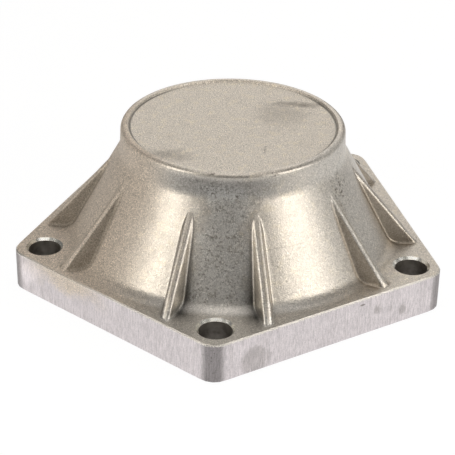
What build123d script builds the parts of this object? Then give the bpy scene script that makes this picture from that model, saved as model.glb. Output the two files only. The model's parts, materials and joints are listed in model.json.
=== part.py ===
from build123d import *
import os
from math import atan2, cos, radians, sin, tan

os.makedirs("parts", exist_ok=True)

# Bearing support: one aluminium casting, machined underneath. Sizes are in millimetres.
# The origin is on the bearing's axis, in the mounting face. +Z points up through the closed end.

# Bearing seat: bored from below for a bearing of 90 mm outside diameter and 20 mm width.
seat_diameter = 90.0
seat_depth = 20.0
seat_lead_in = 1.0
shoulder_width = 3.5

# Hollow bell: a cone below a short neck, closed by a flat end with a raised rim.
# The cone's foot stands clear of the seat by the foot wall.
overall_height = 54.9
foot_wall = 11.6
cone_angle = 29.0
foot_fillet = 6.0
neck_height = 8.7
neck_angle = 2.6
neck_fillet = 8.0
rim_radius = 1.7
rim_width = 0.9
recess_depth = 0.8

# Cored relief above the bearing, left as cast.
end_thickness = 8.0
core_wall = 6.5
core_roof_bevel = 3.0

# Flange: a regular pentagon with a bolt hole in each corner and one corner towards -Y.
# Its sides stand clear of the cone's foot by the flange margin.
corner_count = 5
front_corner = -90.0
flange_margin = 6.4
flange_thickness = 14.2
flange_corner_radius = 6.6
flange_edge_break = 0.4
mounting_face_break = 0.4

# Bolt holes, drilled after casting. Each axis stands in from the tip of its corner.
bolt_tip_distance = 10.0
bolt_hole_diameter = 11.0
bolt_hole_chamfer = 0.9

# Ribs: one on each side of every bolt hole, from high on the cone to the flange's edge.
rib_spread = 15.0
rib_width = 2.8
rib_draft = 9.5
rib_head_drop = 4.5
rib_edge_margin = 2.2
rib_crest_radius = 1.0

# In section the cone and the neck are straight lines, which cross at the neck's foot.
# The cone runs on down inside the flange.
seat_radius = seat_diameter / 2
cone_foot_radius = seat_radius + foot_wall


def cone_radius(height):
    """Outside radius of the cone at a height above the mounting face."""
    return cone_foot_radius - (height - flange_thickness) * tan(radians(cone_angle))


bell_start = flange_thickness / 2
neck_foot_height = overall_height - neck_height
neck_foot = (cone_radius(neck_foot_height), neck_foot_height)
neck_radius = cone_radius(neck_foot_height) - neck_height * tan(radians(neck_angle))
rim_corner = (neck_radius, overall_height)
recess_radius = neck_radius - rim_radius - rim_width
recess_floor = overall_height - recess_depth

# The underside in section: seat, shoulder, and a core that narrows to the closed end.
shoulder_radius = seat_radius - shoulder_width
core_roof = recess_floor - end_thickness
core_roof_radius = cone_radius(core_roof) - core_wall

# The tip of a rounded corner is the point of the flange that lies furthest from the axis.
half_side_angle = 180.0 / corner_count
flange_inradius = cone_foot_radius + flange_margin
corner_centre = (flange_inradius - flange_corner_radius) / cos(radians(half_side_angle))
bolt_circle_radius = corner_centre + flange_corner_radius - bolt_tip_distance

# A rib's crest is a straight line from its head on the cone to its toe near the flange's edge.
# The rib reaches past both ends and below its sides, so that it ends inside the metal.
edge_at_rib = flange_inradius / cos(radians(half_side_angle - rib_spread))
rib_head_height = neck_foot_height - rib_head_drop
rib_head = Vector(cone_radius(rib_head_height), 0, rib_head_height)
rib_toe = Vector(edge_at_rib - rib_edge_margin, 0, flange_thickness)
crest = rib_toe - rib_head
crest_slope = atan2(-crest.Z, crest.X)
rib_sink = flange_thickness / 2
rib_depth = (rib_toe.X - cone_foot_radius) * sin(crest_slope) + rib_sink
rib_flare = rib_depth / cos(crest_slope) * tan(radians(rib_draft))
head_plane = Plane(rib_head - crest.normalized() * rib_sink, x_dir=(0, 1, 0), z_dir=crest)

with BuildPart() as rib:
    with BuildSketch(head_plane) as rib_section:
        with BuildLine():
            Polyline(
                (-rib_width / 2, 0),
                (rib_width / 2, 0),
                (rib_width / 2 + rib_flare, -rib_depth),
                (-rib_width / 2 - rib_flare, -rib_depth),
                close=True,
            )
        make_face()
        fillet(rib_section.vertices().group_by(Axis.Y)[-1], rib_crest_radius)
    extrude(amount=rib_sink + crest.length + rib_edge_margin / 2)

with BuildPart() as bearing_support:
    # Flange
    with BuildSketch() as flange_outline:
        RegularPolygon(flange_inradius, corner_count, major_radius=False, rotation=front_corner)
        fillet(flange_outline.vertices(), flange_corner_radius)
    extrude(amount=flange_thickness)
    chamfer(bearing_support.edges().group_by(Axis.Z)[-1], flange_edge_break)
    chamfer(bearing_support.edges().group_by(Axis.Z)[0], mounting_face_break)

    # Bell, with its foot blended into the flange
    with BuildSketch(Plane.XZ) as bell_section:
        with BuildLine():
            Polyline(
                (0, bell_start),
                (cone_radius(bell_start), bell_start),
                neck_foot,
                rim_corner,
                (recess_radius, overall_height),
                (recess_radius, recess_floor),
                (0, recess_floor),
                close=True,
            )
        make_face()
        fillet(bell_section.vertices().sort_by_distance(neck_foot)[0], neck_fillet)
        fillet(bell_section.vertices().sort_by_distance(rim_corner)[0], rim_radius)
    revolve()
    fillet(bearing_support.edges(Select.NEW), foot_fillet)

    # Ribs, in pairs about the bolt holes
    with PolarLocations(0, corner_count, start_angle=front_corner):
        with PolarLocations(0, 2, -rib_spread, angular_range=2 * rib_spread, endpoint=True):
            add(rib)

    # Bearing seat and cored relief
    with BuildSketch(Plane.XZ) as core_section:
        with BuildLine():
            Polyline(
                (0, 0),
                (seat_radius + seat_lead_in, 0),
                (seat_radius, seat_lead_in),
                (seat_radius, seat_depth),
                (shoulder_radius, seat_depth),
                (core_roof_radius, core_roof),
                (0, core_roof),
                close=True,
            )
        make_face()
        roof_corner = core_section.vertices().sort_by_distance((core_roof_radius, core_roof))[0]
        chamfer(roof_corner, core_roof_bevel)
    revolve(mode=Mode.SUBTRACT)

    # Bolt holes
    with PolarLocations(bolt_circle_radius, corner_count, start_angle=front_corner):
        Hole(bolt_hole_diameter / 2)
    hole_rims = bearing_support.edges(Select.LAST).filter_by(GeomType.CIRCLE)
    chamfer(hole_rims.group_by(Axis.Z)[-1], bolt_hole_chamfer)

bearing_support.part.label = "bearing_support"
export_step(bearing_support.part, "parts/bearing_support.step")
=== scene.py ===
"""Bearing support: the finished aluminium casting, its studio and its camera."""
import json
from math import acos, atan2, cos, pi, radians, sin, tan

import bpy
import numpy as np
from bpy.props import FloatProperty, FloatVectorProperty, IntProperty, PointerProperty
from mathutils import Matrix, Vector


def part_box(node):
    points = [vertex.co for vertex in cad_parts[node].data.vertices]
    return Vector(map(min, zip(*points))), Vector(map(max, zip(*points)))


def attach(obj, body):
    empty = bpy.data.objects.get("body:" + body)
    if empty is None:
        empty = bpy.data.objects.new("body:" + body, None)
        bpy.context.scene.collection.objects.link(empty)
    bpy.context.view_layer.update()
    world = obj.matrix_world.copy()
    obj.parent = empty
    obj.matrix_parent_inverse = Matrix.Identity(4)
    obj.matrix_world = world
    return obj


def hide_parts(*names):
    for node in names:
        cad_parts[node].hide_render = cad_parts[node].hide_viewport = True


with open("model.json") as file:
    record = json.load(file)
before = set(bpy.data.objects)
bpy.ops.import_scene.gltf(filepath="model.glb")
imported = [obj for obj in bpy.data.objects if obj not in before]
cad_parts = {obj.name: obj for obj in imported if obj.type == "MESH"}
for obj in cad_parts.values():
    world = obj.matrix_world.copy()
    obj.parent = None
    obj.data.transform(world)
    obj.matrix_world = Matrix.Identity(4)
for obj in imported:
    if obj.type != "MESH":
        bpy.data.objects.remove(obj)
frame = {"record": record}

bl_info = {
    "name": "Bearing Support",
    "version": (1, 0, 0),
    "blender": (4, 5, 0),
    "location": "3D View > Sidebar > Support",
    "description": "Dresses a cast aluminium bearing support and sets its studio",
    "category": "Object",
}

MM = 0.001
NODE = "bearing_support"
BODY = "root"

LOWEST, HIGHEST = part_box(NODE)
MOUNTS = {mount["name"]: mount for mount in frame["record"]["mounts"]}
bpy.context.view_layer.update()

# How far the flange's sides stay inside the frame's box, in millimetres.
SIDE_CLEARANCE = 0.02

# Kinds of surface, as the casting's faces number them.
CAST, MILLED, TURNED = range(3)


def length(name, text, millimetres):
    """A size that a user may change, given in millimetres and kept in metres."""
    return FloatProperty(name=name, description=text, default=millimetres * MM, unit="LENGTH", precision=5)


def angle(name, text, degrees):
    """An angle that a user may change, given in degrees and kept in radians."""
    return FloatProperty(name=name, description=text, default=radians(degrees), subtype="ANGLE")


def colour(name, text, value):
    """A colour that a user may change."""
    return FloatVectorProperty(name=name, description=text, default=value, subtype="COLOR", min=0, max=1)


class SupportSizes(bpy.types.PropertyGroup):
    """Sizes of the casting. Those that the frame holds come from it."""

    corners: IntProperty(name="Corners", description="Corners of the flange, each with a hole", default=5)
    overall_height: length("Overall height", "From the mounting face to the rim", HIGHEST.z / MM)
    flange_inradius: length("Flange inradius", "From the axis to a side", HIGHEST.y / MM - SIDE_CLEARANCE)
    flange_thickness: length("Flange thickness", "Height of the flange's top face", 14.2)
    corner_radius: length("Corner radius", "Rounding of the flange's corners", 6.6)
    edge_break: length("Edge break", "Small bevel on the flange's top and bottom edges", 0.4)
    seat_radius: length("Seat radius", "Radius of the bearing's seat", MOUNTS["bearing_seat"]["dims"]["r_mm"])
    seat_depth: length("Seat depth", "Depth of the bearing's seat", 20.0)
    seat_lead_in: length("Seat lead-in", "Bevel at the mouth of the seat", 1.0)
    shoulder_width: length("Shoulder width", "Width of the shoulder above the bearing", 3.5)
    foot_wall: length("Foot wall", "Metal between the seat and the bell's foot", 11.6)
    cone_angle: angle("Cone angle", "Slope of the bell away from its axis", 29.0)
    foot_fillet: length("Foot fillet", "Blend of the bell into the flange", 6.0)
    neck_height: length("Neck height", "Height of the neck below the rim", 8.7)
    neck_angle: angle("Neck angle", "Slope of the neck away from its axis", 2.6)
    neck_fillet: length("Neck fillet", "Blend of the cone into the neck", 8.0)
    rim_radius: length("Rim radius", "Rounding of the rim", 1.7)
    rim_width: length("Rim width", "Flat land of the rim", 0.9)
    recess_depth: length("Recess depth", "Depth of the recess inside the rim", 0.8)
    end_thickness: length("End thickness", "Metal in the closed end", 8.0)
    core_wall: length("Core wall", "Metal round the top of the relief", 6.5)
    core_roof_bevel: length("Core roof bevel", "Bevel at the top of the relief", 3.0)
    hole_circle: length("Hole circle", "Radius of the bolt circle", MOUNTS["bolts"]["dims"]["pcd_mm"] / 2)
    hole_radius: length("Hole radius", "Radius of a bolt hole", MOUNTS["bolts"]["dims"]["hole_r_mm"])
    hole_bevel: length("Hole bevel", "Bevel at the top of a bolt hole", 0.9)
    rib_spread: angle("Rib spread", "Turn between a hole and the rib beside it", 15.0)
    rib_width: length("Rib width", "Width of a rib across its crest", 2.8)
    rib_draft: angle("Rib draft", "Slope of a rib's sides", 9.5)
    rib_head_drop: length("Rib head drop", "From the neck's foot down to a rib's head", 4.5)
    rib_edge_margin: length("Rib edge margin", "From a rib's toe to the flange's side", 2.2)
    rib_crest_radius: length("Rib crest radius", "Rounding of a rib's crest", 1.35)
    rib_root_radius: length("Rib root radius", "Blend of a rib into the bell", 0.9)
    swell_depth: length("Swell depth", "How far the cast skin sinks between its high places", 0.10)
    swell_size: length("Swell size", "Distance from one high place of the cast skin to the next", 9.0)
    seed: IntProperty(name="Seed", description="Choice of the cast skin's unevenness", default=7)


class SupportFinish(bpy.types.PropertyGroup):
    """Colours of the surfaces."""

    cast: colour("Cast", "Clean cast skin", (0.60, 0.555, 0.495))
    cream: colour("Cream", "Yellowish patches of the cast skin", (0.66, 0.595, 0.485))
    grey: colour("Grey", "Greyish front and right of the cast skin", (0.59, 0.57, 0.535))
    warm: colour("Warm", "Sandy brownish cast skin", (0.67, 0.585, 0.495))
    # This colour is painted shade on the side ribs' flanks and on the crests' lines.
    flank_shade: colour("Flank", "Dull sides of the ribs", (0.37, 0.32, 0.26))
    stain: colour("Stain", "Dull stains in the cast skin", (0.20, 0.18, 0.155))
    milled: colour("Milled", "Sides of the flange", (0.71, 0.66, 0.67))
    edge: colour("Edge", "Worn edges and bevels", (0.90, 0.86, 0.78))
    turned: colour("Turned", "Turned underside", (0.62, 0.60, 0.57))
    drilled: colour("Drilled", "Walls of the bolt holes", (0.36, 0.335, 0.30))
    # The bores are blended towards this colour in patches and more towards the bottom.
    bore_darkening: colour("Grime", "Dirt deep in the holes and corners", (0.05, 0.035, 0.025))
    floor: colour("Floor", "Studio floor", (0.9, 0.9, 0.9))


class Field:
    """One output socket of a node tree, which takes part in arithmetic."""

    def __init__(self, maker, socket):
        self.maker = maker
        self.socket = socket

    def math(self, operation, *values):
        return self.maker.node("ShaderNodeMath", {"operation": operation}, dict(enumerate(values)))

    def __add__(self, other):
        return self.math("ADD", self, other)

    def __sub__(self, other):
        return self.math("SUBTRACT", self, other)

    def __mul__(self, other):
        return self.math("MULTIPLY", self, other)

    def __truediv__(self, other):
        return self.math("DIVIDE", self, other)

    def __rsub__(self, other):
        return self.math("SUBTRACT", other, self)

    def __rtruediv__(self, other):
        return self.math("DIVIDE", other, self)

    __radd__ = __add__
    __rmul__ = __mul__

    def power(self, exponent):
        return self.math("POWER", self, exponent)

    def unsigned(self):
        return self.math("ABSOLUTE", self)

    def at_most(self, other):
        return self.math("MINIMUM", self, other)


class Maker:
    """Adds nodes to a tree."""

    def __init__(self, tree):
        self.tree = tree

    def node(self, kind, settings=None, inputs=None, output=0):
        """Adds a node, sets it up, feeds its sockets, and gives one of its outputs as a field."""
        node = self.tree.nodes.new(kind)
        for name, value in (settings or {}).items():
            setattr(node, name, value)
        for key, value in (inputs or {}).items():
            self.feed(self.find(node.inputs, key), value)
        return Field(self, self.find(node.outputs, output)) if node.outputs else node

    @staticmethod
    def find(sockets, key):
        """A socket by its number, its identifier or its name."""
        if isinstance(key, int):
            return sockets[key]
        return next((socket for socket in sockets if socket.identifier == key), None) or sockets[key]

    def feed(self, socket, value):
        """Links a field to a socket, or sets the socket's value."""
        if isinstance(value, Field):
            self.tree.links.new(value.socket, socket)
        else:
            socket.default_value = value


# How far a pattern that goes from 0 to 1 moves the edge of a spot, as a share of the spot's reach.
RAGGEDNESS = 2.2


class Finish(Maker):
    """A material under construction."""

    def __init__(self, name):
        self.material = bpy.data.materials.new(name)
        self.material.use_nodes = True
        super().__init__(self.material.node_tree)
        self.shader = self.tree.nodes["Principled BSDF"]
        self.place = self.node("ShaderNodeTexCoord", output="Object")
        parts = self.node("ShaderNodeSeparateXYZ", inputs={0: self.place}, output="X").socket.node.outputs
        self.x, self.y, self.z = (Field(self, socket) for socket in parts)
        self.turn = self.x.math("ARCTAN2", self.x, self.y * -1)
        self.radius = (self.x * self.x + self.y * self.y).power(0.5)

    def mapped(self, scale, shift=(0, 0, 0)):
        """The object's coordinates, scaled and shifted."""
        values = {"Vector": self.place, "Scale": scale, "Location": shift}
        return self.node("ShaderNodeMapping", inputs=values)

    def noise(self, size, detail=2.0, roughness=0.5, stretch=(1, 1, 1), shift=(0, 0, 0)):
        """Noise from 0 to 1 about its middle, whose lumps are about this size in metres."""
        place = self.mapped(tuple(part / size for part in stretch), shift)
        values = {"Vector": place, "Scale": 1.0, "Detail": detail, "Roughness": roughness}
        return self.node("ShaderNodeTexNoise", {"noise_dimensions": "3D"}, values, "Fac")

    def given(self, name):
        """A value that the mesh holds for each point."""
        return self.node("ShaderNodeAttribute", {"attribute_name": name}, output="Fac")

    def step(self, value, low, high):
        """A smooth rise from 0 to 1, while the value goes from low to high."""
        return self.node(
            "ShaderNodeMapRange",
            {"interpolation_type": "SMOOTHSTEP"},
            {"Value": value, "From Min": low, "From Max": high},
            "Result",
        )

    def within(self, value, low, high, soft):
        """1 while the value lies between two limits, with soft ends."""
        return self.step(value, low - soft, low + soft) * (1 - self.step(value, high - soft, high + soft))

    def spot(self, centre, reach, ragged, soft):
        """A soft ragged spot about a place. The place and the spot's reach are in millimetres."""
        scale = tuple(1 / (part * MM) for part in reach)
        shift = tuple(-middle / part for middle, part in zip(centre, reach))
        place = self.mapped(scale, shift)
        distance = self.node("ShaderNodeVectorMath", {"operation": "LENGTH"}, {0: place}, "Value")
        return 1 - self.step(distance + (ragged - 0.5) * RAGGEDNESS, 1 - soft, 1 + soft)

    def spots(self, each, patterns):
        """Spots added up, each given by its place, reach, fraying pattern, softness and strength."""
        total = 0
        for centre, reach, pattern, soft, strength in each:
            total = total + self.spot(centre, reach, patterns[pattern], soft) * strength
        return total

    def blend(self, first, second, factor):
        """A colour between two others."""
        values = {"Factor_Float": factor, "A_Color": rgba(first), "B_Color": rgba(second)}
        return self.node("ShaderNodeMix", {"data_type": "RGBA"}, values, "Result_Color")

    def tint(self, hue, factor):
        """A colour made lighter or darker by a field."""
        grey = self.node("ShaderNodeCombineColor", inputs={0: factor, 1: factor, 2: factor})
        settings = {"data_type": "RGBA", "blend_type": "MULTIPLY"}
        values = {0: 1.0, "A_Color": rgba(hue), "B_Color": grey}
        return self.node("ShaderNodeMix", settings, values, "Result_Color")

    def bump(self, height, depth):
        """The normal of a surface raised by a field from 0 to 1, times a depth in metres."""
        return self.node("ShaderNodeBump", inputs={"Strength": 1.0, "Distance": depth, "Height": height})

    def finish(self, base, roughness, metallic, normal):
        """Feeds the surface."""
        self.feed(self.shader.inputs["Base Color"], base)
        self.feed(self.shader.inputs["Roughness"], roughness)
        self.feed(self.shader.inputs["Metallic"], metallic)
        self.feed(self.shader.inputs["Normal"], normal)
        return self.material


def rgba(value):
    """A colour with its alpha, or a field as it is."""
    return value if isinstance(value, Field) else (*value[:3], 1.0)


# How much of a surface's own colour dirt may cover.
MOST_DIRT = 0.95

# Depth of the relief that the cast skin's grain and the mill's lines leave.
RELIEF_DEPTH = 0.035 * MM

# Turns about the axis, in radians from the front, of the parts where the cast skin differs.
LEFT_TURNS = (-1.9, -0.62)
RIGHT_TURNS = (0.75, 1.4)
# The neck's front within these turns is darkened: painted shade.
NECK_SHADE_TURNS = (-0.50, 0.46)
TIP_TURNS = (-0.40, 0.60)
SEAM_TURNS = (-0.3, 0.55)

# The same for what is alike on both sides of the front. Away from the front the bay fades out over its
# two turns, and the side ribs' own look fades in over theirs.
# The first two turns bound the painted shade beside the recess's wall.
RECESS_SHADE_TURNS = (0.9, 2.4)
BAY_TURNS = (0.10, 0.27)
ASIDE_TURNS = (0.45, 0.65)

# Heights of some of these parts. The bay fades out upwards over its two.
# The first two heights bound the neck's painted shade.
NECK_SHADE_HEIGHTS = (46.5 * MM, 52.8 * MM)
SEAM_HEIGHTS = (31.35 * MM, 31.5 * MM)
BAY_HEIGHTS = (47 * MM, 52 * MM)

# Stains, scratches and nicks of the cast skin. Each is its place and reach in millimetres, the pattern
# that frays it, the softness of its edge and its strength.
SKIN_SPOTS = (
    ((22.5, 19.0, 54), (7, 1.8, 4), "patches", 0.9, 0.60),
    ((16, 10.5, 54), (7, 8, 4), "cloud", 0.95, 0.30),
    ((-19.5, -25, 54), (6, 3.2, 4), "patches", 0.95, 0.45),
    ((11.9, -17.8, 54), (0.3, 2.4, 4), "lumps", 0.5, 0.5),
    ((-4.1, -37.4, 54.6), (0.5, 0.5, 0.8), "lumps", 0.5, 0.6),
    ((16.1, -34.8, 54.3), (0.6, 0.6, 0.9), "lumps", 0.5, 0.6),
    ((-2.9, -44.8, 35.2), (1.3, 3, 0.5), "lumps", 0.5, 0.5),
    ((3.6, -44.6, 35.5), (1.4, 3, 0.6), "lumps", 0.5, 0.5),
)

# The pitted place high on the right of the bell: its middle, reach and softness.
PITTED_PLACE = ((36.8, -18.6, 41), (3.4, 3.4, 5), 0.9)


class CastSkin(Finish):
    """The skin that is left as cast: its random patterns, and a mask for each part that differs."""

    def __init__(self, sizes):
        super().__init__("cast_skin")
        self.grain = self.step(self.noise(0.34 * MM, detail=1.0), 0.30, 0.70)
        self.lumps = self.step(self.noise(1.0 * MM, detail=2.0, roughness=0.6, shift=(3, 1, 7)), 0.28, 0.72)
        self.cloud = self.noise(8 * MM, detail=3.0, roughness=0.55, shift=(1, 5, 2))
        self.patches = self.noise(3.2 * MM, detail=2.0, roughness=0.6, shift=(7, 2, 6))
        pitted = self.noise(0.85 * MM, detail=3.0, roughness=0.75, shift=(4, 4, 9))
        self.pitted = self.step(pitted, 0.48, 0.60) * self.step(self.patches, 0.36, 0.56)
        self.mask_end(sizes.overall_height, recess_radius(sizes))
        self.mask_bell(sizes.flange_thickness)
        self.mask_ribs()

    def mask_end(self, top, recess):
        """Masks the closed end, the painted shade beside the recess's wall that frames it, and the rim, which
        takes a painted highlight.
        """
        raised = self.step(self.z, top - 1.4 * MM, top - MM)
        self.end = raised * (1 - self.step(self.radius, recess, recess + 0.5 * MM))
        recess_shade = self.within(self.radius, recess - 0.85 * MM, recess - 0.1 * MM, 0.2 * MM)
        self.recess_shade = recess_shade * raised * self.within(self.turn.unsigned(), *RECESS_SHADE_TURNS, 0.3)
        # The rim is made paler: painted highlight.
        rim = self.within(self.radius, recess + 0.3 * MM, recess + 1.8 * MM, 0.2 * MM)
        self.rim = rim * self.step(self.z, top - MM, top)

    def mask_bell(self, land):
        """Masks the bell's wall, its sandy left, its right, the neck's front, which takes painted shade, and
        the flange's tip.
        """
        self.wall = self.step(self.z, land + 0.8 * MM, land + 2.8 * MM) * (1 - self.end)
        self.left = self.within(self.turn, *LEFT_TURNS, 0.24) * (1 - self.end)
        self.right = self.within(self.turn, *RIGHT_TURNS, 0.2) * self.wall
        neck_shade = self.within(self.z, *NECK_SHADE_HEIGHTS, 1.4 * MM)
        self.neck_shade = neck_shade * self.within(self.turn, *NECK_SHADE_TURNS, 0.30)
        self.tip = (1 - self.wall) * (1 - self.end) * self.within(self.turn, *TIP_TURNS, 0.18)

    def mask_ribs(self):
        """Masks the bay between the front ribs, and the painted shade on the side ribs' flanks, on all
        crests' lines and, with grime, beside the rib roots.
        """
        flank_shade = self.given("flank_shade")
        strayed = self.turn + (self.cloud - 0.5) * 0.45 + (self.patches - 0.5) * 0.12
        bay = (1 - self.step(strayed.unsigned(), *BAY_TURNS)) * self.wall * (1 - flank_shade)
        self.bay = bay * (1 - self.step(self.z, *BAY_HEIGHTS))
        aside = self.step(self.turn.unsigned(), *ASIDE_TURNS)
        # The side ribs' flanks are darkened: painted shade.
        self.flank_shade = flank_shade * aside
        # Beside the rib roots the skin is darkened: painted shade, with grime.
        self.pocket_shade_and_grime = self.given("root_shade_and_grime") * (1 - aside * 0.75)
        self.crest = self.given("crest")

    def dirt(self):
        """How dirty the skin is: its spots, pits and the parting seam."""
        patterns = {"patches": self.patches, "cloud": self.cloud, "lumps": self.lumps}
        centre, reach, soft = PITTED_PLACE
        spots = self.spots(SKIN_SPOTS, patterns) + self.spot(centre, reach, self.cloud, soft) * self.pitted
        seam = self.within(self.z + (self.patches - 0.5) * (0.8 * MM), *SEAM_HEIGHTS, 0.2 * MM)
        seam = seam * self.within(self.turn, *SEAM_TURNS, 0.1)
        pits = self.step(self.noise(0.45 * MM, detail=0.0, shift=(2, 8, 5)), 0.62, 0.74)
        pitted = self.bay * 0.78 + self.left * 0.2 + self.right * 0.3 + self.neck_shade * 0.4
        dull = self.step(self.cloud, 0.5, 0.75)
        return spots + pitted * self.pitted + seam * 0.6 + dull * 0.12 + pits * (0.16 - self.bay * 0.08)

    def light(self):
        """How light the skin is: its grain with painted glints, a painted highlight on the rim, painted shade
        on the neck's front, beside the rib roots (with grime) and beside the recess's wall, and the parts
        that are paler or darker.
        """
        # Bright specks in the grain's colour: painted glints.
        painted_glints = self.step(self.noise(0.40 * MM, detail=0.0, shift=(9, 3, 3)), 0.62, 0.74)
        contrast = 0.40 - self.bay * 0.08 + self.end * 0.34 + self.left * 0.24
        light = 1 + (self.grain - 0.5) * contrast + (self.lumps - 0.5) * 0.16 + painted_glints * 0.35
        light = light + (self.cloud - 0.5) * 0.12 + (self.patches - 0.5) * 0.14
        # The rim's extra paleness is a painted highlight.
        paler = (1 + self.bay * 0.26) * (1 + self.end * 0.21) * (1 + self.rim * 0.14)
        # The neck's front and the pockets beside the rib roots are darkened: painted shade, with grime in the
        # pockets.
        darker = (1 - self.left * 0.06) * (1 - self.neck_shade * 0.52) * (1 - self.pocket_shade_and_grime * 0.85)
        # Beside the recess's wall the end is darkened: painted shade.
        return light * paler * darker * (1 - self.recess_shade * 0.62)

    def hue(self, finish):
        """The clean skin's colour, with painted shade on the side ribs' flanks."""
        greyish = (self.bay + self.right * 0.6 + self.neck_shade * 0.6 + self.tip * 0.8).at_most(1.0)
        hue = self.blend(finish.cast, finish.cream, self.step(self.patches, 0.52, 0.70) * 0.5)
        hue = self.blend(self.blend(hue, finish.grey, greyish), finish.warm, self.left)
        return self.blend(hue, finish.flank_shade, self.flank_shade)


def cast_skin(finish, sizes):
    """The material of every surface that is left as cast: a sandy grain with stains and scratches, painted
    glints, a painted highlight on the rim, and painted shade on the neck's front, beside the rib roots, on
    the side ribs' flanks and crests and beside the recess's wall.
    """
    make = CastSkin(sizes)
    dirt = make.dirt()
    base = make.tint(make.blend(make.hue(finish), finish.stain, dirt.at_most(MOST_DIRT)), make.light())
    # The crests' thin middle line takes the flanks' dark colour: painted shade.
    base = make.blend(base, finish.flank_shade, make.crest * 0.7)
    blasted = (make.left + make.right * 0.35 + make.end * 0.7).at_most(1.0)
    roughness = 0.38 + (make.grain - 0.5) * 0.12 + make.cloud * 0.06 + dirt * 0.10 + blasted * 0.22
    relief = make.bump(make.grain * 0.5 + make.lumps * 0.4 - dirt * 0.15, RELIEF_DEPTH)
    return make.finish(base, roughness, 0.92 - blasted * 0.45, relief)


# The height range over which stray cast skin covers the left of the flange's sides, and its turns.
SPILL_HEIGHTS = (5.5 * MM, 12.0 * MM)
SPILL_TURNS = (-1.13, -0.72)

# Marks on the flange's sides, given as the cast skin's spots are.
SIDE_SPOTS = (
    ((13.2, -68.3, 4.4), (2.6, 2.6, 2.6), "streaks", 0.4, 0.34),
    ((46.8, -43.9, 11.9), (1.0, 1.0, 0.35), "cloud", 0.4, 0.75),
    ((52, -40.1, 8.3), (0.8, 0.8, 0.9), "streaks", 0.8, 0.40),
    ((56.4, -37.0, 7.0), (0.6, 0.6, 1.0), "cloud", 0.8, 0.22),
    ((60.3, -34.1, 4.9), (0.7, 0.7, 0.9), "streaks", 0.8, 0.40),
    ((62.5, -32.5, 3.6), (0.5, 0.5, 0.9), "cloud", 0.8, 0.22),
)

# The pale place at the left end of the sides: its middle, reach and softness.
PALE_PLACE = ((-67.6, -28.8, 8.6), (4.5, 4.5, 4.2), 0.35)


def milled_side(finish, sizes):
    """The material of the flange's sides: fine upright lines, with worn edges, cast skin on the left, and
    painted shade in the corners' roundings.
    """
    make = Finish("milled_side")
    lines = make.step(make.noise(0.36 * MM, detail=1.0, roughness=0.7, stretch=(1, 1, 0.13)), 0.25, 0.75)
    streaks = make.noise(1.6 * MM, detail=3.0, roughness=0.7, stretch=(1, 1, 0.1), shift=(2, 7, 1))
    streaks = make.step(streaks, 0.5, 0.72)
    cloud = make.noise(7 * MM, detail=3.0, shift=(5, 1, 3))
    grain = make.step(make.noise(0.36 * MM, detail=1.0), 0.30, 0.70)
    specks = make.step(make.noise(0.8 * MM, detail=2.0, shift=(6, 6, 1)), 0.62, 0.72)
    # The corners' roundings, which are darkened below as painted shade.
    corner = make.given("corner")

    bevel_foot = sizes.flange_thickness - sizes.edge_break
    edge = make.step(make.z + (grain - 0.5) * (0.3 * MM), bevel_foot - 0.35 * MM, bevel_foot)
    worn = edge * (0.45 + make.step(grain, 0.2, 0.7) * 0.55)
    spill = make.step(make.z + (cloud - 0.5) * (9 * MM) + (grain - 0.5) * (2 * MM), *SPILL_HEIGHTS)
    spill = spill * make.within(make.turn, *SPILL_TURNS, 0.14)
    marks = make.spots(SIDE_SPOTS, {"streaks": streaks, "cloud": cloud})
    centre, reach, soft = PALE_PLACE
    pale = make.spot(centre, reach, cloud, soft)
    # The corners' roundings are darkened, with more specks: painted shade.
    dirt = marks + specks * (0.16 + corner * 0.35) + corner * 0.20 + streaks * 0.16
    light = 1 + (lines - 0.5) * 0.30 + (grain - 0.5) * 0.16 + (cloud - 0.5) * 0.2
    light = light * (1 - corner * 0.48) * (1 + pale * 0.25)
    base = make.tint(make.blend(finish.milled, finish.stain, dirt.at_most(MOST_DIRT)), light)
    sandy = make.tint(finish.warm, 1.0 + (grain - 0.5) * 0.6)
    base = make.blend(make.blend(base, sandy, spill), finish.edge, worn * (1 - spill * 0.6))
    roughness = 0.42 + (lines - 0.5) * 0.12 + corner * 0.05 - worn * 0.08
    return make.finish(base, roughness, 0.80, make.bump(lines * 0.6 + grain * 0.3, RELIEF_DEPTH))


# Distance between the rings that the turning tool leaves.
RING_PITCH = 0.35 * MM


def turned_face(finish):
    """The material of the mounting face and the seat: rings left by the tool."""
    make = Finish("turned_face")
    rings = make.radius.math("SINE", make.radius * (2 * pi / RING_PITCH))
    cloud = make.noise(15 * MM, detail=3.0)
    base = make.tint(finish.turned, 0.85 + cloud * 0.2 + rings * 0.03)
    return make.finish(base, 0.28 + cloud * 0.15, 0.95, make.bump(rings * 0.5 + 0.5, 0.01 * MM))


# The height range over which the darkening of a bolt hole's bore thins out upwards.
BORE_DARKENING_HEIGHTS = (3 * MM, 13 * MM)


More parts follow.
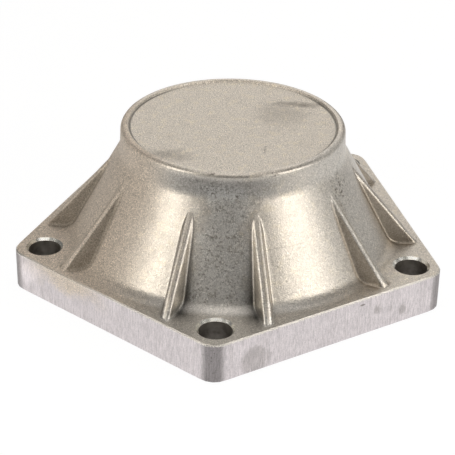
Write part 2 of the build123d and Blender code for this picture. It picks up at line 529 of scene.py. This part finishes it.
def drilled_wall(finish, sizes):
    """The material of the bolt holes: a bright bevel at the mouth, brightened further as a painted highlight,
    and a bore below it that is dark in patches and darker towards the bottom.
    """
    make = Finish("drilled_wall")
    mouth = sizes.flange_thickness - sizes.hole_bevel
    bevel = make.step(make.z, mouth - 0.1 * MM, mouth + 0.05 * MM)
    patchy = make.noise(2.5 * MM, detail=3.0, shift=(1, 2, 3))
    chatter = make.noise(0.7 * MM, detail=2.0, roughness=0.7)
    # Darker towards the bottom of the bore.
    deep = 1 - make.step(make.z, *BORE_DARKENING_HEIGHTS)
    bore_darkening = (make.step(patchy, 0.3, 0.8) * 0.5 + deep * 0.6).at_most(1.0)
    # The bevel is machined metal, and its colour is lifted 1.2 times, past white in places: painted
    # highlight.
    lip_highlight = make.tint(finish.edge, 1.2 + (chatter - 0.5) * 0.5)
    base = make.blend(make.blend(finish.drilled, finish.bore_darkening, bore_darkening), lip_highlight, bevel)
    lines = make.noise(0.4 * MM, detail=2.0, stretch=(0.2, 0.2, 1))
    relief = make.bump(lines * (1 - bevel) + chatter * bevel * 0.25, 0.03 * MM)
    return make.finish(base, 0.45 - bevel * 0.19, 0.9, relief)


def cone_radius(height, sizes):
    """Outside radius of the cone at a height above the mounting face."""
    foot = sizes.seat_radius + sizes.foot_wall
    return foot - (height - sizes.flange_thickness) * tan(sizes.cone_angle)


def rim_reach(sizes):
    """From the axis to the outside of the rim."""
    neck_foot = cone_radius(sizes.overall_height - sizes.neck_height, sizes)
    return neck_foot - sizes.neck_height * tan(sizes.neck_angle)


def recess_radius(sizes):
    """From the axis to the wall of the recess inside the rim."""
    return rim_reach(sizes) - sizes.rim_radius - sizes.rim_width


def corner_rounding(inset, sizes):
    """Distance from the axis to the middle of a corner's rounding, and its radius less an inset."""
    middle = (sizes.flange_inradius - sizes.corner_radius) / cos(pi / sizes.corners)
    return middle, sizes.corner_radius - inset


def corner_arc(inset, sizes):
    """Turn from the middle of a corner to the end of its rounding."""
    half_side = pi / sizes.corners
    middle, radius = corner_rounding(inset, sizes)
    return atan2(radius * sin(half_side), middle + radius * cos(half_side))


def edge_radius(turn, inset, sizes):
    """Distance from the axis to the flange's side, less an inset, at a turn from the nearest corner."""
    middle, radius = corner_rounding(inset, sizes)
    turn = np.abs(turn)
    chord = np.sqrt(np.maximum(radius**2 - (middle * np.sin(turn)) ** 2, 0))
    on_corner = middle * np.cos(turn) + chord
    on_side = (sizes.flange_inradius - inset) / np.cos(pi / sizes.corners - turn)
    return np.where(turn < corner_arc(inset, sizes), on_corner, on_side)


def blended_path(corners):
    """Stations along a section whose corners are rounded.

    A corner is its radius and height, its fillet, the steps round it and along the straight after it,
    the kind of surface there, and whether a rib may stand there. A station is a radius, a height, the
    normal's two parts, and the surface and rib of its corner.
    """
    stations = []
    for index, (radius, height, fillet, bend_steps, run_steps, surface, ribbed) in enumerate(corners):
        point = Vector((radius, height))
        here = point
        if fillet:
            back = (Vector(corners[index - 1][:2]) - point).normalized()
            onward = (Vector(corners[index + 1][:2]) - point).normalized()
            half = back.angle(onward) / 2
            centre = point + (back + onward).normalized() * (fillet / sin(half))
            first = point + back * (fillet / tan(half)) - centre
            here = point + onward * (fillet / tan(half))
            turn = pi - 2 * half
            across = (here - centre - first * cos(turn)) / sin(turn)
            outward = -1 if onward.x * back.y > onward.y * back.x else 1
            for step in range(bend_steps):
                spoke = first * cos(turn * step / bend_steps) + across * sin(turn * step / bend_steps)
                normal = spoke.normalized() * outward
                stations.append((*(centre + spoke), *normal, surface, ribbed))
        if index + 1 == len(corners):
            stations.append((*point, 0, -1, surface, ribbed))
            break
        target = Vector(corners[index + 1][:2])
        if corners[index + 1][2]:
            onward = Vector(corners[index + 2][:2]) - target
            half = (here - target).angle(onward) / 2
            target = target + (here - target).normalized() * (corners[index + 1][2] / tan(half))
        lead = (target - here).normalized()
        for step in range(run_steps):
            stations.append((*here.lerp(target, step / run_steps), -lead.y, lead.x, surface, ribbed))
    return stations


# Roundings at the foot and the edge of the recess's wall, as shares of the recess's depth.
RECESS_ROOT = 0.5
RECESS_EDGE = 0.3

# Steps across the flange's top face, down its sides and across its mounting face.
LAND_STEPS = 20
DOWN_STEPS = 8
FACE_STEPS = 5


def casting_stations(sizes):
    """Stations along the casting's whole section, from the middle of its top to the middle of its roof.

    A station is a radius, a height, the normal's two parts, the surface that follows, whether a rib may
    stand there, how far its ring reaches from a circle to the flange's outline, and how far that
    outline is drawn in.
    """
    top, land = sizes.overall_height, sizes.flange_thickness
    floor = top - sizes.recess_depth
    neck_foot = (cone_radius(top - sizes.neck_height, sizes), top - sizes.neck_height)
    recess = recess_radius(sizes)
    outside = blended_path((
        (0, floor, 0, 0, 14, CAST, False),
        (recess, floor, sizes.recess_depth * RECESS_ROOT, 4, 1, CAST, False),
        (recess, top, sizes.recess_depth * RECESS_EDGE, 3, 2, CAST, False),
        (rim_reach(sizes), top, sizes.rim_radius, 8, 8, CAST, False),
        (*neck_foot, sizes.neck_fillet, 8, 50, CAST, True),
        (cone_radius(land, sizes), land, sizes.foot_fillet, 12, 1, CAST, True),
        (sizes.flange_inradius, land, 0, 0, 0, CAST, True),
    ))[:-1]

    middle = outside[-1][0]
    edge = sizes.edge_break
    mouth = sizes.seat_radius + sizes.seat_lead_in
    outward = np.arange(LAND_STEPS) / LAND_STEPS
    downward = np.arange(DOWN_STEPS + 1) / DOWN_STEPS
    inward = np.arange(FACE_STEPS) / FACE_STEPS
    stations = [(*station, 0, 0) for station in outside[:-1]]
    stations += [(middle, land, 0, 1, CAST, True, share, edge) for share in outward]
    stations += [(middle, land, 1, 0, MILLED, False, 1, edge)]
    for height in land - edge - (land - 2 * edge) * downward:
        stations.append((middle, height, 1, 0, MILLED, False, 1, 0))
    stations += [(mouth, 0, 0, -1, TURNED, False, 1 - share, edge) for share in inward]

    roof = floor - sizes.end_thickness
    roof_radius = cone_radius(roof, sizes) - sizes.core_wall
    shoulder = sizes.seat_radius - sizes.shoulder_width
    roof_corner = Vector((roof_radius, roof))
    down_core = (Vector((shoulder, sizes.seat_depth)) - roof_corner).normalized()
    bevel_foot = roof_corner + down_core * sizes.core_roof_bevel
    inside = blended_path((
        (mouth, 0, 0, 0, 1, TURNED, False),
        (sizes.seat_radius, sizes.seat_lead_in, 0, 0, 5, TURNED, False),
        (sizes.seat_radius, sizes.seat_depth, 0, 0, 2, TURNED, False),
        (shoulder, sizes.seat_depth, 0, 0, 10, CAST, False),
        (*bevel_foot, 0, 0, 2, CAST, False),
        (roof_radius - sizes.core_roof_bevel, roof, 0, 0, 6, CAST, False),
        (0, roof, 0, 0, 0, CAST, False),
    ))
    return stations + [(*station, 0, 0) for station in inside]


# Points of a rib's section round its crest or its root, and down its flank with both ends.
ROUND_POINTS = 6
FLANK_POINTS = 5


def half_rib(height, draft, sizes):
    """Half a rib's section, from the middle of its crest to the end of its root: sideways and raised."""
    crest, root = sizes.rib_crest_radius, sizes.rib_root_radius
    steepest = pi / 2 - draft
    flat = sizes.rib_width / 2 - crest * tan(steepest / 2)
    full = (crest + root) * (1 - cos(steepest))
    turn = steepest if height >= full else acos(1 - height / (crest + root))
    straight = max(height - full, 0) / sin(steepest)
    over = np.linspace(0, turn, ROUND_POINTS)
    down = np.linspace(0, straight, FLANK_POINTS)[1:-1]
    under = np.linspace(turn, 0, ROUND_POINTS)
    side_start = flat + crest * sin(turn)
    root_start = side_start + straight * cos(turn)
    sideways = (
        [0],
        flat + crest * np.sin(over),
        side_start + down * cos(turn),
        root_start + root * (sin(turn) - np.sin(under)),
    )
    raised = (
        [height],
        height - crest * (1 - np.cos(over)),
        height - crest * (1 - cos(turn)) - down * sin(turn),
        root * (1 - np.cos(under)),
    )
    return np.concatenate(sideways), np.concatenate(raised)


# How far the painted shade and grime beside a rib's root reach, the height of rib beside which they are full,
# how they grow with that height, and their share outside a pair of ribs.
ROOT_SHADE_REACH = 3.4 * MM
FULL_RISE = 6 * MM
ROOT_SHADE_GROWTH = 1.5
OUTSIDE_SHARE = 0.12

# The height of rib at which its colours are full, how far its crest's line and the clean edge of its root
# reach sideways, and how far down its crest comes, as a share of the crest's rounding. The crest's line and
# the flanks down to that edge take painted shade.
GROWN_RISE = 2 * MM
CREST_LINE = 0.1 * MM
ROOT_MARGIN = 0.05 * MM
CREST_SHARE = 0.4


def rib_marks(turn, lift, rise, at_rib, half_width, sizes):
    """How much painted shade and grime each point of a ring takes beside a rib's root, and how much painted
    shade it takes on the crest's line and on the flanks.
    """
    beside = np.abs(np.abs(turn) - sizes.rib_spread) * at_rib
    off_root = np.abs(beside - half_width) + lift
    pocket_shade_and_grime = np.where(np.abs(turn) < sizes.rib_spread, 1.0, OUTSIDE_SHARE)
    root_shade_and_grime = min(rise / FULL_RISE, 1.0) ** ROOT_SHADE_GROWTH * pocket_shade_and_grime * np.exp(-off_root / ROOT_SHADE_REACH)
    grown = min(rise / GROWN_RISE, 1.0)
    crest = np.where(beside < CREST_LINE, grown, 0.0)
    on_crest = lift > rise - CREST_SHARE * sizes.rib_crest_radius
    flank_shade = np.where((beside > half_width + ROOT_MARGIN) | on_crest, 0.0, grown)
    return root_shade_and_grime, crest, flank_shade


# Steps round the axis from a rib to the middle of a side, and between the two ribs of a corner.
SIDE_STEPS = 14
MIDDLE_STEPS = 18

# Near the axis half a rib fills at most this share of the turn from the rib to its corner's middle.
MOST_RIB = 0.6


def corner_sector(sizes):
    """One corner's share of the casting: its vertices, faces, kinds of surface and point values."""
    stations = casting_stations(sizes)
    half_turn = pi / sizes.corners
    head_height = sizes.overall_height - sizes.neck_height - sizes.rib_head_drop
    head = Vector((cone_radius(head_height, sizes), head_height))
    toe_radius = float(edge_radius(sizes.rib_spread, 0.0, sizes)) - sizes.rib_edge_margin
    crest_line = Vector((toe_radius, sizes.flange_thickness)) - head
    above = Vector((-crest_line.y, crest_line.x)).normalized()
    widest = sin(sizes.rib_spread * MOST_RIB)
    arc = corner_arc(0.0, sizes)

    rows, marks = [], []
    for radius, height, across, up, surface, ribbed, reach, inset in stations:
        at_rib = (1 - reach) * radius + reach * float(edge_radius(sizes.rib_spread, inset, sizes))
        lean = above.dot(Vector((across, up)))
        rise = max(above.dot(head - Vector((at_rib, height))) / lean, 0.0) if ribbed else 0.0
        draft = atan2(tan(sizes.rib_draft) * abs(lean), above.y)
        half_sideways, half_raised = half_rib(rise, draft, sizes)
        sideways = np.concatenate((-half_sideways[:0:-1], half_sideways))
        raised = np.concatenate((half_raised[:0:-1], half_raised))
        turns = sizes.rib_spread + np.arcsin(sideways / max(at_rib, sideways[-1] / widest))
        outer = np.linspace(turns[-1], half_turn, SIDE_STEPS + 1)[1:]
        between = np.linspace(-turns[0], turns[0], MIDDLE_STEPS + 1)[1:-1]
        turn = np.concatenate((-outer[::-1], -turns[::-1], between, turns, outer))
        flat = np.zeros(len(outer))
        lift = np.concatenate((flat, raised, np.zeros(len(between)), raised, flat))
        rib_turn = np.where(turn > 0, sizes.rib_spread, -sizes.rib_spread)
        radii = (1 - reach) * radius + reach * edge_radius(turn, inset, sizes)
        out = radii * np.cos(turn) + lift * across * np.cos(rib_turn)
        along = radii * np.sin(turn) + lift * across * np.sin(rib_turn)
        rows.append(np.stack((along, -out, height + lift * up), axis=1))
        # The roundings of the flange's corners, which the sides' material darkens as painted shade.
        corner = np.where((np.abs(turn) < arc) & (reach == 1), 1.0, 0.0)
        marks.append((*rib_marks(turn, lift, rise, at_rib, half_sideways[-1], sizes), corner))
    net = np.array(rows)
    row_count, column_count = net.shape[:2]
    index = np.arange(row_count * column_count).reshape(row_count, column_count)
    quads = np.stack((index[:-1, :-1], index[1:, :-1], index[1:, 1:], index[:-1, 1:]), axis=-1)
    kinds = np.array([station[4] for station in stations])
    surfaces = np.repeat(kinds[:-1], column_count - 1)
    is_cast = kinds == CAST
    values = dict(zip(("root_shade_and_grime", "crest", "flank_shade", "corner"), np.concatenate(marks, axis=1)))
    values["cast_weight"] = np.repeat((is_cast & np.roll(is_cast, 1)).astype(float), column_count)
    return net.reshape(-1, 3), quads.reshape(-1, 4), surfaces, values


def socket_kind(value):
    """The kind of group input that holds a value."""
    return "NodeSocketInt" if isinstance(value, int) else "NodeSocketFloat"


# Fineness of the cast skin's unevenness, and the distance within which the corners' seams merge.
SWELL_DETAIL = 3.0
SWELL_ROUGHNESS = 0.55
SEAM_WIDTH = 0.002 * MM


def corners_tree(name, values, materials):
    """Geometry nodes that repeat one corner round the axis, merge the seams and make the skin uneven."""
    tree = bpy.data.node_groups.new(name, "GeometryNodeTree")
    tree.interface.new_socket("Corner", in_out="INPUT", socket_type="NodeSocketGeometry")
    for label, value in values.items():
        socket = tree.interface.new_socket(label, in_out="INPUT", socket_type=socket_kind(value))
        socket.default_value = value
    tree.interface.new_socket("Casting", in_out="OUTPUT", socket_type="NodeSocketGeometry")
    make = Maker(tree)
    given = make.node("NodeGroupInput").socket.node.outputs
    inputs = {socket.name: Field(make, socket) for socket in given if socket.name}

    points = make.node("GeometryNodePoints", inputs={"Count": inputs["Corners"]})
    turn = make.node("GeometryNodeInputIndex") * (2 * pi) / inputs["Corners"]
    spin = make.node("ShaderNodeCombineXYZ", inputs={"Z": turn})
    values = {"Points": points, "Instance": inputs["Corner"], "Rotation": spin}
    around = make.node("GeometryNodeInstanceOnPoints", inputs=values)
    whole = make.node("GeometryNodeRealizeInstances", inputs={0: around})
    closed = make.node("GeometryNodeMergeByDistance", inputs={"Geometry": whole, "Distance": inputs["Seam"]})

    place = make.node("GeometryNodeInputPosition")
    weight = make.node("GeometryNodeInputNamedAttribute", {"data_type": "FLOAT"}, {"Name": "cast_weight"})
    values = {"Vector": place, "W": inputs["Seed"], "Scale": 1 / inputs["Swell Size"]}
    values |= {"Detail": SWELL_DETAIL, "Roughness": SWELL_ROUGHNESS}
    swell = make.node("ShaderNodeTexNoise", {"noise_dimensions": "4D"}, values, "Fac")
    sink = swell * weight * inputs["Swell Depth"] * -1
    values = {0: make.node("GeometryNodeInputNormal"), "Scale": sink}
    offset = make.node("ShaderNodeVectorMath", {"operation": "SCALE"}, values, "Vector")
    body = make.node("GeometryNodeSetPosition", inputs={"Geometry": closed, "Offset": offset})
    body = make.node("GeometryNodeRealizeInstances", inputs={0: body})
    kind = make.node("GeometryNodeInputNamedAttribute", {"data_type": "INT"}, {"Name": "surface_kind"})
    same = {"data_type": "INT", "operation": "EQUAL"}
    for number, material in materials.items():
        chosen = make.node("FunctionNodeCompare", same, {"A_INT": kind, "B_INT": number})
        values = {"Geometry": body, "Selection": chosen, "Material": material}
        body = make.node("GeometryNodeSetMaterial", inputs=values)
    make.node("NodeGroupOutput", inputs={"Casting": body})
    return tree


def named_mesh(name, vertices, faces):
    """A mesh from arrays."""
    mesh = bpy.data.meshes.new(name)
    outlines = [tuple(int(index) for index in face) for face in faces]
    mesh.from_pydata([tuple(vertex) for vertex in vertices], [], outlines)
    mesh.update()
    return mesh


def new_object(name, data):
    """An object at the origin, linked to the scene."""
    thing = bpy.data.objects.new(name, data)
    bpy.context.collection.objects.link(thing)
    return thing


# How far the drill passes the flange's faces, and the steps round it. Its points stand half a step off,
# so that none lies on the seam between two corners.
DRILL_REACH = 2 * MM
DRILL_STEPS = 72


def drill_mesh(sizes):
    """The metal that the drill and its countersink take from each bolt hole."""
    land, steps = sizes.flange_thickness, DRILL_STEPS
    outline = (
        (sizes.hole_radius, -DRILL_REACH),
        (sizes.hole_radius, land - sizes.hole_bevel),
        (sizes.hole_radius + sizes.hole_bevel + DRILL_REACH, land + DRILL_REACH),
    )
    vertices, faces = [], []
    for corner in range(sizes.corners):
        middle = corner * 2 * pi / sizes.corners - pi / 2
        axis = Vector((cos(middle), sin(middle), 0)) * sizes.hole_circle
        base = len(vertices)
        for radius, height in outline:
            for step in range(steps):
                turn = (step + 0.5) * 2 * pi / steps
                vertices.append(axis + Vector((cos(turn) * radius, sin(turn) * radius, height)))
        for level in range(len(outline) - 1):
            for step in range(steps):
                here = base + level * steps
                beside = (step + 1) % steps
                faces.append((here + step, here + beside, here + steps + beside, here + steps + step))
        faces.append(tuple(base + step for step in reversed(range(steps))))
        faces.append(tuple(base + (len(outline) - 1) * steps + step for step in range(steps)))
    return named_mesh("drill", vertices, faces)


def settled_mesh(thing, name):
    """The object's mesh with its modifiers applied, which it keeps without them."""
    graph = bpy.context.evaluated_depsgraph_get()
    mesh = bpy.data.meshes.new_from_object(thing.evaluated_get(graph))
    mesh.name = name
    thing.modifiers.clear()
    thing.data = mesh
    return mesh


# Edges that turn by more than this stay sharp.
SHARP_ANGLE = radians(38)


class SUPPORT_OT_casting(bpy.types.Operator):
    """Make the casting's finished skin from one corner, and drill its bolt holes"""

    bl_idname = "support.casting"
    bl_label = "Casting"

    def execute(self, context):
        sizes, finish = context.scene.support_sizes, context.scene.support_finish
        vertices, quads, surfaces, values = corner_sector(sizes)
        mesh = named_mesh("corner", vertices, quads)
        mesh.attributes.new("surface_kind", "INT", "FACE").data.foreach_set("value", surfaces)
        for name, each in values.items():
            mesh.attributes.new(name, "FLOAT", "POINT").data.foreach_set("value", each)
        casting = new_object("casting", mesh)
        materials = {
            CAST: cast_skin(finish, sizes),
            MILLED: milled_side(finish, sizes),
            TURNED: turned_face(finish),
        }
        inputs = {
            "Corners": sizes.corners,
            "Seam": SEAM_WIDTH,
            "Swell Depth": sizes.swell_depth,
            "Swell Size": sizes.swell_size,
            "Seed": sizes.seed,
        }
        tree = corners_tree("corners_round_axis", inputs, materials)
        modifier = casting.modifiers.new("corners", "NODES")
        modifier.node_group = tree
        for item in tree.interface.items_tree:
            if item.in_out == "INPUT" and item.name in inputs:
                modifier[item.identifier] = inputs[item.name]

        drill = new_object("drill", drill_mesh(sizes))
        drill.data.materials.append(drilled_wall(finish, sizes))
        holes = casting.modifiers.new("holes", "BOOLEAN")
        holes.operation, holes.solver, holes.object = "DIFFERENCE", "EXACT", drill
        holes.material_mode = "TRANSFER"
        mesh = settled_mesh(casting, "casting")
        bpy.data.objects.remove(drill)
        mesh.shade_smooth()
        mesh.set_sharp_from_angle(angle=SHARP_ANGLE)
        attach(casting, BODY)
        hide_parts(NODE)
        return {"FINISHED"}


# Camera, as fitted to the photograph with the flange's outline.
PHOTO_WIDTH = 455
FOCAL_PIXELS = 1567.73
SENSOR_WIDTH = 36.0
CAMERA_ELEVATION = radians(29.354)
CAMERA_AZIMUTH = radians(3.919)
CAMERA_ROLL = radians(1.039)
CAMERA_OFFSET = (-1.10 * MM, 11.72 * MM, 562.34 * MM)
CAMERA_LIFT = 0.4 * MM


class SUPPORT_OT_camera(bpy.types.Operator):
    """Set the camera at the photograph's angle"""

    bl_idname = "support.camera"
    bl_label = "Camera"

    def execute(self, context):
        flat = cos(CAMERA_ELEVATION)
        back = Vector((sin(CAMERA_AZIMUTH) * flat, -cos(CAMERA_AZIMUTH) * flat, sin(CAMERA_ELEVATION)))
        level = Vector((0, 0, 1)).cross(back).normalized()
        upright = back.cross(level)
        right = cos(CAMERA_ROLL) * level + sin(CAMERA_ROLL) * upright
        up = cos(CAMERA_ROLL) * upright - sin(CAMERA_ROLL) * level
        place = right * CAMERA_OFFSET[0] + up * CAMERA_OFFSET[1] + back * CAMERA_OFFSET[2]
        camera = new_object("camera", bpy.data.cameras.new("camera"))
        camera.data.sensor_width = SENSOR_WIDTH
        camera.data.lens = SENSOR_WIDTH * FOCAL_PIXELS / PHOTO_WIDTH
        matrix = Matrix((right, up, back)).transposed().to_4x4()
        matrix.translation = place + Vector((0, 0, CAMERA_LIFT))
        camera.matrix_world = matrix
        context.scene.camera = camera
        return {"FINISHED"}


# Lamps: azimuth and elevation in degrees, distance, width and height, power, and colour.
LAMPS = {
    "lamp_left": ((-54, 24), 0.55, (0.26, 0.24), 0.90, (1.0, 0.965, 0.90)),
    "lamp_right": ((62, 24), 0.55, (0.36, 0.24), 1.08, (1.0, 0.97, 0.92)),
    "lamp_side": ((130, 30), 0.60, (0.35, 0.35), 0.28, (1.0, 0.97, 0.93)),
    "lamp_back": ((184, 33), 0.65, (0.50, 0.40), 0.67, (1.0, 0.97, 0.93)),
    "lamp_high": ((184, 60), 0.62, (0.50, 0.20), 0.20, (1.0, 0.97, 0.94)),
    "lamp_top": ((0, 88), 0.60, (0.40, 0.40), 0.60, (1.0, 0.97, 0.94)),
    "lamp_front": ((0, 62), 0.60, (0.50, 0.20), 0.30, (1.0, 0.97, 0.93)),
}

# Strength of the room's even light.
SKY_STRENGTH = 0.08

# Half the floor's side and its drop below the casting. To the camera the floor is mostly a plain white.
FLOOR_HALF = 1.5
FLOOR_DROP = 0.02 * MM
FLOOR_WHITE = (1.0, 1.0, 1.0, 1.0)
FLOOR_STRENGTH = 1.05
FLOOR_SHARE = 0.9


def seen_directly(make):
    """1 for rays from the camera, straight or by way of metal or glass, and 0 for the rest."""
    path = make.node("ShaderNodeLightPath").socket.node.outputs
    rays = [Field(make, path[name]) for name in ("Is Camera Ray", "Is Glossy Ray", "Is Transmission Ray")]
    return (rays[0] + rays[1] + rays[2]).at_most(1.0)


class SUPPORT_OT_stage(bpy.types.Operator):
    """Lay the pale floor, hang the lamps and light the room"""

    bl_idname = "support.stage"
    bl_label = "Stage"

    def execute(self, context):
        scene, finish = context.scene, context.scene.support_finish
        self.lay_floor(finish)
        self.light_room(scene)
        for name, lamp in LAMPS.items():
            self.hang(name, *lamp)
        scene.view_settings.view_transform = "Standard"
        return {"FINISHED"}

    def lay_floor(self, finish):
        """Lays a pale floor that takes the casting's shadow and shows white to the camera."""
        vertices = [(x * FLOOR_HALF, y * FLOOR_HALF, 0) for x, y in ((-1, -1), (1, -1), (1, 1), (-1, 1))]
        mesh = named_mesh("floor", vertices, [(0, 1, 2, 3)])
        floor = new_object("floor", mesh)
        floor.location.z = -FLOOR_DROP
        material = bpy.data.materials.new("floor")
        material.use_nodes = True
        mesh.materials.append(material)
        make = Maker(material.node_tree)
        make.tree.nodes.clear()
        matt = make.node("ShaderNodeBsdfDiffuse", inputs={"Color": rgba(finish.floor)})
        white = make.node("ShaderNodeEmission", inputs={"Color": FLOOR_WHITE, "Strength": FLOOR_STRENGTH})
        share = seen_directly(make) * FLOOR_SHARE
        mixed = make.node("ShaderNodeMixShader", inputs={0: share, 1: matt, 2: white})
        make.node("ShaderNodeOutputMaterial", inputs={"Surface": mixed})

    def light_room(self, scene):
        """Fills the room with a weak even light."""
        world = bpy.data.worlds.new("studio")
        world.use_nodes = True
        scene.world = world
        make = Maker(world.node_tree)
        make.tree.nodes.clear()
        sky = make.node("ShaderNodeBackground", inputs={"Color": (1, 1, 1, 1), "Strength": SKY_STRENGTH})
        make.node("ShaderNodeOutputWorld", inputs={"Surface": sky})

    def hang(self, name, direction, distance, size, power, tone):
        """Hangs a soft rectangular lamp at an azimuth and elevation in degrees, aimed at the casting."""
        lamp = new_object(name, bpy.data.lights.new(name, "AREA"))
        lamp.data.shape = "RECTANGLE"
        lamp.data.size, lamp.data.size_y = size
        lamp.data.energy, lamp.data.color = power, tone
        turn, rise = (radians(part) for part in direction)
        away = Vector((sin(turn) * cos(rise), -cos(turn) * cos(rise), sin(rise)))
        lamp.location = away * distance
        lamp.rotation_euler = (-away).to_track_quat("-Z", "Y").to_euler()


class SUPPORT_PT_panel(bpy.types.Panel):
    """Lists the steps and their sizes in the 3D view's sidebar"""

    bl_idname = "SUPPORT_PT_panel"
    bl_label = "Bearing Support"
    bl_space_type = "VIEW_3D"
    bl_region_type = "UI"
    bl_category = "Support"

    def draw(self, context):
        for step in STEPS:
            self.layout.operator(step.bl_idname)
        for group in (context.scene.support_sizes, context.scene.support_finish):
            for name in group.__annotations__:
                self.layout.prop(group, name)


STEPS = (SUPPORT_OT_casting, SUPPORT_OT_stage, SUPPORT_OT_camera)
CLASSES = (SupportSizes, SupportFinish, *STEPS, SUPPORT_PT_panel)


def register():
    for each in CLASSES:
        bpy.utils.register_class(each)
    bpy.types.Scene.support_sizes = PointerProperty(type=SupportSizes)
    bpy.types.Scene.support_finish = PointerProperty(type=SupportFinish)


def unregister():
    del bpy.types.Scene.support_finish
    del bpy.types.Scene.support_sizes
    for each in reversed(CLASSES):
        bpy.utils.unregister_class(each)


def main():
    """Registers the add-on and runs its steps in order."""
    register()
    bpy.ops.support.casting()
    bpy.ops.support.stage()
    bpy.ops.support.camera()


if __name__ == "__main__":
    main()
